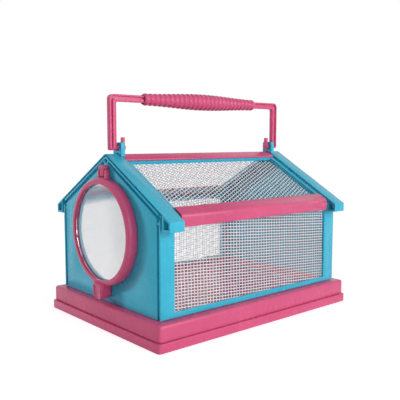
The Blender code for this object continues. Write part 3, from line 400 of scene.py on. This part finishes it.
def net_tree():
    """A net of two sets of threads, each at its own slant and spacing, woven over and under."""
    tree, inputs = new_tree(
        "stretched_net",
        (
            ("Half length", "Float"),
            ("Half height", "Float"),
            ("Warp slant", "Float"),
            ("Warp spacing", "Float"),
            ("Weft slant", "Float"),
            ("Weft spacing", "Float"),
            ("Thread radius", "Float"),
            ("Flatness", "Float"),
            ("Crimp", "Float"),
            ("Unevenness", "Float"),
            ("Seed", "Float"),
            ("Thread", "Material"),
        ),
    )
    position = add(tree, "GeometryNodeInputPosition").outputs[0]
    here = add(tree, "ShaderNodeSeparateXYZ", {0: position}).outputs
    waves = []
    for slant, spacing in (("Warp slant", "Warp spacing"), ("Weft slant", "Weft spacing")):
        across = maths(
            tree,
            "ADD",
            maths(tree, "MULTIPLY", here["X"], maths(tree, "COSINE", inputs[slant])),
            maths(tree, "MULTIPLY", here["Y"], maths(tree, "SINE", inputs[slant])),
        )
        turns = maths(tree, "MULTIPLY", maths(tree, "DIVIDE", across, inputs[spacing]), math.pi)
        waves.append(maths(tree, "COSINE", turns))
    phase = maths(tree, "MULTIPLY", waves[0], waves[1])
    # Slack in the net, in swells about 16 mm long
    noise = add(
        tree,
        "ShaderNodeTexNoise",
        {"Vector": position, "W": inputs["Seed"], "Scale": 1 / (16 * MM), "Detail": 2.0},
        noise_dimensions="4D",
    )
    centred = add(
        tree,
        "ShaderNodeVectorMath",
        {0: noise.outputs["Color"], 1: (0.5, 0.5, 0.5)},
        operation="SUBTRACT",
    )
    flat = add(tree, "ShaderNodeVectorMath", {0: centred.outputs[0], 1: (1, 1, 0)}, operation="MULTIPLY")
    drift = add(
        tree,
        "ShaderNodeVectorMath",
        {0: flat.outputs[0], "Scale": inputs["Unevenness"]},
        operation="SCALE",
    )
    corner = add(tree, "ShaderNodeCombineXYZ", {"X": inputs["Half length"], "Y": inputs["Half height"]})
    given = {
        "corner": corner.outputs[0],
        "half_length": inputs["Half length"],
        "half_height": inputs["Half height"],
        "crimp": inputs["Crimp"],
        "drift": drift.outputs[0],
    }
    step_along_warp = maths(tree, "DIVIDE", inputs["Weft spacing"], 2.0)
    step_along_weft = maths(tree, "DIVIDE", inputs["Warp spacing"], 2.0)
    warp = thread_family(
        tree,
        given,
        inputs["Warp slant"],
        inputs["Warp spacing"],
        step_along_warp,
        phase,
        1.0,
    )
    weft = thread_family(
        tree,
        given,
        inputs["Weft slant"],
        inputs["Weft spacing"],
        step_along_weft,
        phase,
        -1.0,
    )
    both = add(tree, "GeometryNodeJoinGeometry")
    tree.links.new(warp, both.inputs[0])
    tree.links.new(weft, both.inputs[0])
    yarn = add(
        tree,
        "GeometryNodeCurvePrimitiveCircle",
        {"Resolution": 5, "Radius": inputs["Thread radius"]},
    )
    solid = add(
        tree,
        "GeometryNodeCurveToMesh",
        {"Curve": both.outputs[0], "Profile Curve": yarn.outputs[0], "Fill Caps": True},
    )
    squash = add(tree, "ShaderNodeCombineXYZ", {"X": 1.0, "Y": 1.0, "Z": inputs["Flatness"]})
    pressed = add(tree, "GeometryNodeTransform", {"Geometry": solid.outputs[0], "Scale": squash.outputs[0]})
    soft = add(tree, "GeometryNodeSetShadeSmooth", {"Geometry": pressed.outputs[0]})
    real = add(tree, "GeometryNodeRealizeInstances", {"Geometry": soft.outputs[0]})
    painted = add(
        tree,
        "GeometryNodeSetMaterial",
        {"Geometry": real.outputs[0], "Material": inputs["Thread"]},
    )
    add(tree, "NodeGroupOutput", {"Geometry": painted.outputs[0]})
    return tree


def stretched_net(tree, node, turn, thickness, threads, seed, material):
    """The net of one opening, held all round between its frame and the house."""
    low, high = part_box(node)
    middle = (Vector(low) + Vector(high)) / 2
    size = Vector(high) - Vector(low)
    tilt = turn.to_euler().x
    half_height = (size.z - thickness * abs(math.cos(tilt))) / abs(math.sin(tilt)) / 2
    warp_slant, warp_spacing, weft_slant, weft_spacing = threads
    values = {
        "Half length": size.x / 2,
        "Half height": half_height,
        "Warp slant": math.radians(warp_slant),
        "Warp spacing": warp_spacing * MM,
        "Weft slant": math.radians(weft_slant),
        "Weft spacing": weft_spacing * MM,
        "Thread radius": THREAD_WIDTH / 2,
        "Flatness": thickness / (THREAD_WIDTH + 2 * THREAD_CRIMP),
        "Crimp": THREAD_CRIMP,
        "Unevenness": THREAD_DRIFT,
        "Seed": seed,
        "Thread": material,
    }
    net = grown(tree, f"{node}_threads", values, Matrix.Translation(middle) @ turn)
    finished(net, node, material)
    # The holes take up near half of a net, so its cloth is that much less than its rectangle
    return net


def grip_tree():
    """A lathe-turned barrel with rounded ring ribs and a bore, drawn along X."""
    tree, inputs = new_tree(
        "ribbed_barrel",
        (
            ("Length", "Float"),
            ("End radius", "Float"),
            ("Crown", "Float"),
            ("Bore radius", "Float"),
            ("Ribs", "Int"),
            ("Rib depth", "Float"),
            ("Rib roundness", "Float"),
            ("Points per rib", "Int"),
            ("Facets", "Int"),
            ("Plastic", "Material"),
        ),
    )
    outside = maths(tree, "MULTIPLY_ADD", inputs["Ribs"], inputs["Points per rib"], 1.0)
    count = maths(tree, "ADD", outside, 2.0)
    line = add(tree, "GeometryNodeCurvePrimitiveLine", {"Start": (0, 0, 0), "End": (0, 1, 0)})
    stepped = add(tree, "GeometryNodeResampleCurve", {"Curve": line.outputs[0], "Count": count}, mode="COUNT")
    index = add(tree, "GeometryNodeInputIndex").outputs[0]
    last = maths(tree, "SUBTRACT", outside, 1.0)
    share = maths(tree, "DIVIDE", maths(tree, "SUBTRACT", index, 1.0), last)
    share = add(tree, "ShaderNodeClamp", {"Value": share}).outputs[0]
    along = maths(tree, "MULTIPLY", maths(tree, "SUBTRACT", share, 0.5), inputs["Length"])
    swell = maths(tree, "POWER", maths(tree, "SINE", maths(tree, "MULTIPLY", share, math.pi)), 2.0)
    barrel = maths(tree, "MULTIPLY_ADD", swell, inputs["Crown"], inputs["End radius"])
    turns = maths(tree, "MULTIPLY", maths(tree, "MULTIPLY", share, inputs["Ribs"]), math.pi)
    bump = maths(tree, "POWER", maths(tree, "ABSOLUTE", maths(tree, "SINE", turns)), inputs["Rib roundness"])
    groove = maths(tree, "MULTIPLY", maths(tree, "SUBTRACT", 1.0, bump), inputs["Rib depth"])
    skin = maths(tree, "SUBTRACT", barrel, groove)
    at_start = maths(tree, "LESS_THAN", index, 0.5)
    at_end = maths(tree, "GREATER_THAN", index, maths(tree, "ADD", outside, 0.5))
    in_bore = maths(tree, "MAXIMUM", at_start, at_end)
    radius = add(
        tree,
        "ShaderNodeMix",
        {"Factor": in_bore, "A": skin, "B": inputs["Bore radius"]},
        data_type="FLOAT",
    ).outputs[0]
    out = maths(tree, "SUBTRACT", radius, inputs["Bore radius"])
    point = add(tree, "ShaderNodeCombineXYZ", {"X": out, "Y": along}).outputs[0]
    section = add(tree, "GeometryNodeSetPosition", {"Geometry": stepped.outputs[0], "Position": point})
    closed = add(tree, "GeometryNodeSetSplineCyclic", {"Geometry": section.outputs[0], "Cyclic": True})
    circle = add(
        tree,
        "GeometryNodeCurvePrimitiveCircle",
        {"Resolution": inputs["Facets"], "Radius": inputs["Bore radius"]},
    )
    swept = add(
        tree,
        "GeometryNodeCurveToMesh",
        {"Curve": circle.outputs[0], "Profile Curve": closed.outputs[0]},
    )
    turn = (0, math.pi / 2, 0)
    laid = add(tree, "GeometryNodeTransform", {"Geometry": swept.outputs[0], "Rotation": turn})
    soft = add(tree, "GeometryNodeSetShadeSmooth", {"Geometry": laid.outputs[0]})
    real = add(tree, "GeometryNodeRealizeInstances", {"Geometry": soft.outputs[0]})
    painted = add(
        tree,
        "GeometryNodeSetMaterial",
        {"Geometry": real.outputs[0], "Material": inputs["Plastic"]},
    )
    add(tree, "NodeGroupOutput", {"Geometry": painted.outputs[0]})
    return tree


def faced_out(piece):
    """Points a closed piece's faces outwards and keeps its corners crisp."""
    work = bmesh.new()
    work.from_mesh(piece.data)
    bmesh.ops.remove_doubles(work, verts=work.verts, dist=WELD)
    bmesh.ops.recalc_face_normals(work, faces=work.faces)
    work.to_mesh(piece.data)
    work.free()
    piece.data.set_sharp_from_angle(angle=GRIP_CREASE)
    return piece


def ribbed_grip(material):
    """The barrel grip on the handle's bar."""
    low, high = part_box("handle_grip")
    middle = (Vector(low) + Vector(high)) / 2
    values = {
        "Length": high[0] - low[0],
        "End radius": GRIP_END_RADIUS,
        "Crown": GRIP_CROWN,
        "Bore radius": GRIP_BORE_RADIUS,
        "Ribs": GRIP_RIBS,
        "Rib depth": GRIP_RIB_DEPTH,
        "Rib roundness": GRIP_RIB_ROUNDNESS,
        "Points per rib": GRIP_POINTS_PER_RIB,
        "Facets": GRIP_FACETS,
        "Plastic": material,
    }
    grip = faced_out(grown(grip_tree(), "handle_grip_ribbed", values, Matrix.Translation(middle)))
    return finished(grip, "handle_grip", material)


def turned_lens(material):
    """The plano-convex lens, finer than the CAD one, in the same place and of the same size."""
    low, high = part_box("magnifier_lens")
    middle = (Vector(low) + Vector(high)) / 2
    radius = (high[2] - low[2]) / 2
    crown = high[0] - low[0] - LENS_EDGE
    dome = radius - LENS_SEAT
    sphere = (dome**2 + crown**2) / (2 * crown)
    opening = math.asin(dome / sphere)
    profile = [(high[0], 0.0), (high[0], radius), (high[0] - LENS_EDGE, radius)]
    for index in range(LENS_RINGS + 1):
        angle = opening * (1 - index / LENS_RINGS)
        profile.append((low[0] + sphere * (1 - math.cos(angle)), sphere * math.sin(angle)))
    work = bmesh.new()
    points = [work.verts.new((along, out, 0)) for along, out in profile]
    edges = [work.edges.new(pair) for pair in zip(points, points[1:])]
    bmesh.ops.spin(
        work,
        geom=points + edges,
        axis=(1, 0, 0),
        cent=(0, 0, 0),
        steps=LENS_FACETS,
        angle=math.tau,
        use_merge=True,
    )
    bmesh.ops.remove_doubles(work, verts=work.verts, dist=WELD)
    bmesh.ops.recalc_face_normals(work, faces=work.faces)
    mesh = bpy.data.meshes.new("magnifier_lens_polished")
    work.to_mesh(mesh)
    work.free()
    mesh.transform(Matrix.Translation((0, middle.y, middle.z)))
    mesh.shade_smooth()
    mesh.set_sharp_from_angle(angle=LENS_CREASE)
    lens = bpy.data.objects.new("magnifier_lens_polished", mesh)
    bpy.context.scene.collection.objects.link(lens)
    return finished(lens, "magnifier_lens", material)


def backdrop_share(tree):
    """1 for rays that show the surroundings themselves, in sight, in gloss or through clear acrylic."""
    path = add(tree, "ShaderNodeLightPath").outputs
    seen = maths(tree, "MAXIMUM", path["Is Camera Ray"], path["Is Glossy Ray"])
    return maths(tree, "MAXIMUM", seen, path["Is Transmission Ray"])


def studio():
    """A white sweep that keeps a soft shadow, a white surround and the lamps."""
    mesh = bpy.data.meshes.new("studio_floor")
    half = FLOOR_HALF
    corners = [(-half, -half, 0), (half, -half, 0), (half, half, 0), (-half, half, 0)]
    mesh.from_pydata(corners, [], [(0, 1, 2, 3)])
    floor = bpy.data.objects.new("studio_floor", mesh)
    bpy.context.scene.collection.objects.link(floor)
    mesh.transform(Matrix.Translation((0, 0, -FLOOR_DROP)))
    paper = bpy.data.materials.new("matt_white_paper")
    paper.use_nodes = True
    tree = paper.node_tree
    tree.nodes.clear()
    matt = add(tree, "ShaderNodeBsdfDiffuse", {"Color": colour("#EDEEEE")})
    glow = add(
        tree,
        "ShaderNodeEmission",
        {"Strength": maths(tree, "MULTIPLY", backdrop_share(tree), FLOOR_GLOW)},
    )
    both = add(tree, "ShaderNodeAddShader", {0: matt.outputs[0], 1: glow.outputs[0]})
    # Away from the part the paper runs out into the white of the surround
    place = add(tree, "ShaderNodeTexCoord").outputs["Object"]
    away = add(tree, "ShaderNodeVectorMath", {0: place}, operation="LENGTH").outputs["Value"]
    fade = add(
        tree,
        "ShaderNodeMapRange",
        {"Value": away, "From Min": FLOOR_NEAR, "From Max": FLOOR_FAR, "To Min": 0.0, "To Max": 1.0},
        interpolation_type="SMOOTHSTEP",
    ).outputs["Result"]
    gone = maths(tree, "MULTIPLY", fade, backdrop_share(tree))
    white = add(tree, "ShaderNodeEmission", {"Strength": 1.0})
    sweep = add(tree, "ShaderNodeMixShader", {0: gone, 1: both.outputs[0], 2: white.outputs[0]})
    add(tree, "ShaderNodeOutputMaterial", {"Surface": sweep.outputs[0]})
    mesh.materials.append(paper)

    world = bpy.data.worlds.new("white_studio")
    world.use_nodes = True
    bpy.context.scene.world = world
    tree = world.node_tree
    tree.nodes.clear()
    strength = add(
        tree,
        "ShaderNodeMix",
        {"Factor": backdrop_share(tree), "A": AMBIENT, "B": 1.0},
        data_type="FLOAT",
    ).outputs[0]
    surround = add(tree, "ShaderNodeBackground", {"Color": (1, 1, 1, 1), "Strength": strength})
    add(tree, "ShaderNodeOutputWorld", {"Surface": surround.outputs[0]})

    for name, place, size, power, mirrored in LAMPS:
        lamp = bpy.data.lights.new(name, "AREA")
        lamp.shape = "SQUARE"
        lamp.size = size
        lamp.energy = power
        stand = bpy.data.objects.new(name, lamp)
        stand.location = place
        stand.visible_glossy = mirrored
        aim = LAMP_AIM - Vector(place)
        stand.rotation_euler = aim.to_track_quat("-Z", "Y").to_euler()
        bpy.context.scene.collection.objects.link(stand)


def camera():
    """The camera, where the photograph was taken from."""
    sight = bpy.data.cameras.new("camera")
    sight.lens = CAMERA_LENS
    sight.sensor_width = 36
    sight.clip_start = 0.01
    stand = bpy.data.objects.new("camera", sight)
    stand.location = CAMERA_PLACE
    stand.rotation_euler = [math.radians(angle) for angle in CAMERA_TURN]
    bpy.context.scene.collection.objects.link(stand)
    bpy.context.scene.camera = stand


bpy.context.scene.view_settings.view_transform = "Standard"
camera()
studio()

TURQUOISE = polished_abs("turquoise_polished_moulded_abs", "#40BFDC", "#39B6D4")
PINK = polished_abs("pink_polished_moulded_abs", "#DE5C88", "#D65480")
WHITE = drawn_net_thread("white_heat_set_polyester_net", "#FCFCFD", "#F3F5F7")
CLEAR = cast_acrylic("clear_polished_moulded_acrylic")

for NODE, RADIUS in TURQUOISE_PIECES.items():
    moulded(NODE, RADIUS, TURQUOISE)
for NODE, RADIUS in PINK_PIECES.items():
    moulded(NODE, RADIUS, PINK)

UPRIGHT = Matrix.Rotation(math.pi / 2, 4, "X")
SLOPE = Matrix.Rotation(ROOF_PITCH, 4, "X")
ABOUT = Matrix.Rotation(math.pi, 4, "Z")
NET = net_tree()
for SIDE, FACING, SEED in (("front", Matrix.Identity(4), 1.0), ("rear", ABOUT, 2.0)):
    stretched_net(
        NET,
        f"side_net_{SIDE}",
        FACING @ UPRIGHT,
        SIDE_NET_THICKNESS,
        SIDE_THREADS,
        SEED,
        WHITE,
    )
    stretched_net(
        NET,
        f"roof_net_{SIDE}",
        FACING @ SLOPE,
        ROOF_NET_THICKNESS,
        ROOF_THREADS,
        SEED + 4.0,
        WHITE,
    )
ribbed_grip(PINK)
turned_lens(CLEAR)
